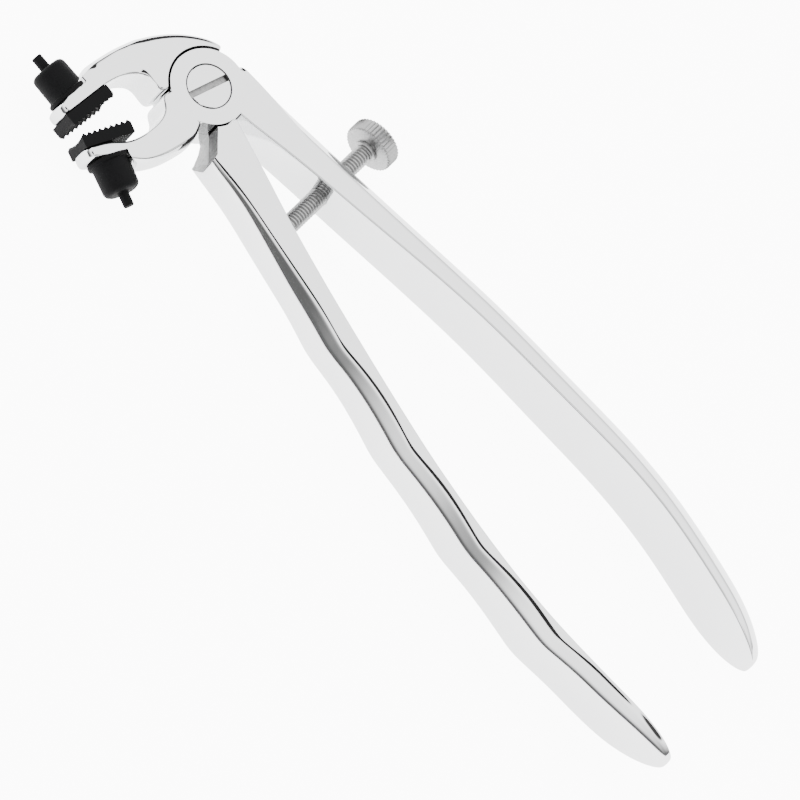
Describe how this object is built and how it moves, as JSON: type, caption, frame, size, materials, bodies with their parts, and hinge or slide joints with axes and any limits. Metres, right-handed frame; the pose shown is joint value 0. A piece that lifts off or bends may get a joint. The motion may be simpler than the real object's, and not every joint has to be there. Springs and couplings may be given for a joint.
{
  "type": "soft jaw pliers",
  "caption": "Steel pliers with long curved handles, hooked jaws turned to one side, toothed rubber pads plugged through the jaws and a thumb screw that stops their closing.",
  "frame": {"origin": "where the pivot axis meets the joint's flat back face", "axes": "+Z along the pivot axis, out of the screw head's side; +X from the handles' ends towards the jaws; +Y towards the finger-grip handle and the jaws' tips"},
  "size_m": [0.1839, 0.0634, 0.0164],
  "materials": {
    "polished_steel": "mirror-polished stainless steel",
    "satin_steel": "satin, machined",
    "black_rubber": "moulded, semi-matt"
  },
  "bodies": {
    "front_lever": {"front_lever": "polished_steel", "lower_pad": "black_rubber"},
    "rear_lever": {"rear_lever": "polished_steel", "pivot_screw": "polished_steel", "upper_pad": "black_rubber"},
    "stud": {"adjusting_stud": "satin_steel"},
    "knob": {"knurled_knob": "satin_steel"}
  },
  "joints": [
    {"name": "pivot", "type": "hinge", "parent": "front_lever", "child": "rear_lever", "pos_m": [0, 0, 0], "axis": [0, 0, 1], "range_deg": [-16, 0]},
    {"name": "screw_travel", "type": "slide", "parent": "front_lever", "child": "stud", "axis": [-0.0489, -0.9988, 0], "range_m": [0, 0.009]},
    {"name": "knob_turn", "type": "hinge", "parent": "stud", "child": "knob", "pos_m": [-0.0303, 0, 0.005], "axis": [-0.0489, -0.9988, 0], "range_deg": [0, 4320]}
  ],
  "couplings": [
    {"joint": "knob_turn", "follows": "screw_travel", "rad_per_m": 8377.6}
  ]
}
